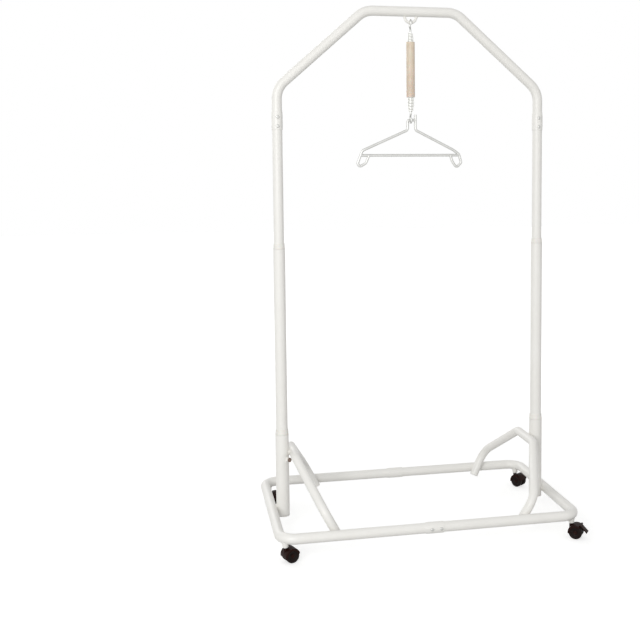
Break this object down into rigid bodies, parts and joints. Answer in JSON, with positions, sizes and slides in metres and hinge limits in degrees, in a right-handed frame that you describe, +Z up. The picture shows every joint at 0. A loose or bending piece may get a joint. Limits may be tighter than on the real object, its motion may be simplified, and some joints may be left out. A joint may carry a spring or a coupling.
{
  "type": "hanging baby cradle stand",
  "caption": "Tubular white steel stand on twin-wheel casters, with an arch that carries an extension spring and a wire hanger for a fabric baby cradle.",
  "frame": {"origin": "on the floor under the middle of the base, within 9 mm of the middle of the bounding box", "axes": "+Z up; +X to the right along the long rails; -Y to the front, where the joint screws show"},
  "size_m": [0.8859, 0.5503, 1.5119],
  "materials": {
    "white_coat": "semi-gloss powder coat",
    "white_plastic": "satin moulded plastic",
    "zinc_screws": "bright zinc plate",
    "dark_bolt": "dark oxide",
    "spring_steel": "zinc plate",
    "sleeve_plastic": "tan plastic tube",
    "hanger_wire": "zinc plate",
    "caster_moulding": "dark moulded plastic",
    "caster_steel": "bright zinc plate",
    "wheel_plastic": "dark hard plastic tread"
  },
  "bodies": {
    "base": {"base_left": "white_coat", "base_right": "white_coat", "rail_screw_front_left": "zinc_screws", "rail_screw_front_right": "zinc_screws", "rail_screw_rear_left": "zinc_screws", "rail_screw_rear_right": "zinc_screws", "socket_left": "white_coat", "socket_plug_left": "white_plastic", "socket_bush_left": "white_plastic", "post_bolt_left": "dark_bolt", "brace_left": "white_coat", "socket_right": "white_coat", "socket_plug_right": "white_plastic", "socket_bush_right": "white_plastic", "post_bolt_right": "dark_bolt", "brace_right": "white_coat", "caster_stem_front_left": "caster_steel", "caster_stem_front_right": "caster_steel", "caster_stem_rear_left": "caster_steel", "caster_stem_rear_right": "caster_steel"},
    "lower_posts": {"lower_post_left": "white_coat", "post_bush_left": "white_plastic", "clamp_screw_left": "zinc_screws", "lower_post_right": "white_coat", "post_bush_right": "white_plastic", "clamp_screw_right": "zinc_screws"},
    "arch_frame": {"arch": "white_coat", "hook_ring": "white_coat", "upper_post_left": "white_coat", "upper_post_right": "white_coat", "arch_screw_left_low": "zinc_screws", "arch_screw_left_high": "zinc_screws", "arch_screw_right_low": "zinc_screws", "arch_screw_right_high": "zinc_screws"},
    "top_hook": {"top_hook": "spring_steel"},
    "spring": {"spring": "spring_steel", "spring_sleeve": "sleeve_plastic"},
    "bottom_hook": {"bottom_hook": "spring_steel"},
    "hanger": {"hanger": "hanger_wire"},
    "caster_front_left": {"caster_hood_front_left": "caster_moulding", "caster_axle_front_left": "caster_steel"},
    "wheel_front_left_near": {"caster_wheel_front_left_near": "wheel_plastic"},
    "wheel_front_left_far": {"caster_wheel_front_left_far": "wheel_plastic"},
    "caster_front_right": {"caster_hood_front_right": "caster_moulding", "caster_axle_front_right": "caster_steel"},
    "wheel_front_right_near": {"caster_wheel_front_right_near": "wheel_plastic"},
    "wheel_front_right_far": {"caster_wheel_front_right_far": "wheel_plastic"},
    "caster_rear_left": {"caster_hood_rear_left": "caster_moulding", "caster_axle_rear_left": "caster_steel"},
    "wheel_rear_left_near": {"caster_wheel_rear_left_near": "wheel_plastic"},
    "wheel_rear_left_far": {"caster_wheel_rear_left_far": "wheel_plastic"},
    "caster_rear_right": {"caster_hood_rear_right": "caster_moulding", "caster_axle_rear_right": "caster_steel"},
    "wheel_rear_right_near": {"caster_wheel_rear_right_near": "wheel_plastic"},
    "wheel_rear_right_far": {"caster_wheel_rear_right_far": "wheel_plastic"},
    "brake_pedal": {"brake_pedal": "caster_moulding"}
  },
  "joints": [
    {"name": "lower_post_height", "type": "slide", "parent": "base", "child": "lower_posts", "axis": [0, 0, 1], "range_m": [0, 0.12]},
    {"name": "arch_height", "type": "slide", "parent": "lower_posts", "child": "arch_frame", "axis": [0, 0, 1], "range_m": [-0.3, 0.05]},
    {"name": "top_hook_rock", "type": "hinge", "parent": "arch_frame", "child": "top_hook", "pos_m": [0, 0, 1.4663], "axis": [1, 0, 0], "range_deg": [-35, 35]},
    {"name": "spring_swivel", "type": "hinge", "parent": "top_hook", "child": "spring", "pos_m": [0, 0, 1.4393], "axis": [0, 0, 1], "continuous": true},
    {"name": "spring_stretch", "type": "slide", "parent": "spring", "child": "bottom_hook", "axis": [0, 0, -1], "range_m": [0, 0.12], "stiffness_N_per_m": 800, "springref_m": -0.0125, "deforming": ["spring"]},
    {"name": "hanger_rock", "type": "hinge", "parent": "bottom_hook", "child": "hanger", "pos_m": [0, 0, 1.1883], "axis": [1, 0, 0], "range_deg": [-60, 60]},
    {"name": "caster_front_left_swivel", "type": "hinge", "parent": "base", "child": "caster_front_left", "pos_m": [-0.40682, -0.24112, 0.0405], "axis": [0, 0, 1], "continuous": true},
    {"name": "wheel_front_left_near_roll", "type": "hinge", "parent": "caster_front_left", "child": "wheel_front_left_near", "pos_m": [-0.39319, -0.23616, 0.019], "axis": [-0.342, 0.9397, 0], "continuous": true},
    {"name": "wheel_front_left_far_roll", "type": "hinge", "parent": "caster_front_left", "child": "wheel_front_left_far", "pos_m": [-0.39319, -0.23616, 0.019], "axis": [-0.342, 0.9397, 0], "continuous": true},
    {"name": "caster_front_right_swivel", "type": "hinge", "parent": "base", "child": "caster_front_right", "pos_m": [0.40682, -0.24112, 0.0405], "axis": [0, 0, 1], "continuous": true},
    {"name": "wheel_front_right_near_roll", "type": "hinge", "parent": "caster_front_right", "child": "wheel_front_right_near", "pos_m": [0.4187, -0.24944, 0.019], "axis": [0.5736, 0.8192, 0], "continuous": true},
    {"name": "wheel_front_right_far_roll", "type": "hinge", "parent": "caster_front_right", "child": "wheel_front_right_far", "pos_m": [0.4187, -0.24944, 0.019], "axis": [0.5736, 0.8192, 0], "continuous": true},
    {"name": "caster_rear_left_swivel", "type": "hinge", "parent": "base", "child": "caster_rear_left", "pos_m": [-0.40682, 0.24112, 0.0405], "axis": [0, 0, 1], "continuous": true},
    {"name": "wheel_rear_left_near_roll", "type": "hinge", "parent": "caster_rear_left", "child": "wheel_rear_left_near", "pos_m": [-0.39426, 0.23387, 0.019], "axis": [0.5, 0.866, 0], "continuous": true},
    {"name": "wheel_rear_left_far_roll", "type": "hinge", "parent": "caster_rear_left", "child": "wheel_rear_left_far", "pos_m": [-0.39426, 0.23387, 0.019], "axis": [0.5, 0.866, 0], "continuous": true},
    {"name": "caster_rear_right_swivel", "type": "hinge", "parent": "base", "child": "caster_rear_right", "pos_m": [0.40682, 0.24112, 0.0405], "axis": [0, 0, 1], "continuous": true},
    {"name": "wheel_rear_right_near_roll", "type": "hinge", "parent": "caster_rear_right", "child": "wheel_rear_right_near", "pos_m": [0.41514, 0.22924, 0.019], "axis": [0.8192, 0.5736, 0], "continuous": true},
    {"name": "wheel_rear_right_far_roll", "type": "hinge", "parent": "caster_rear_right", "child": "wheel_rear_right_far", "pos_m": [0.41514, 0.22924, 0.019], "axis": [0.8192, 0.5736, 0], "continuous": true},
    {"name": "brake_pedal_press", "type": "hinge", "parent": "caster_front_right", "child": "brake_pedal", "pos_m": [0.42997, -0.25733, 0.03866], "axis": [0.5736, 0.8192, 0], "range_deg": [0, 18]}
  ]
}
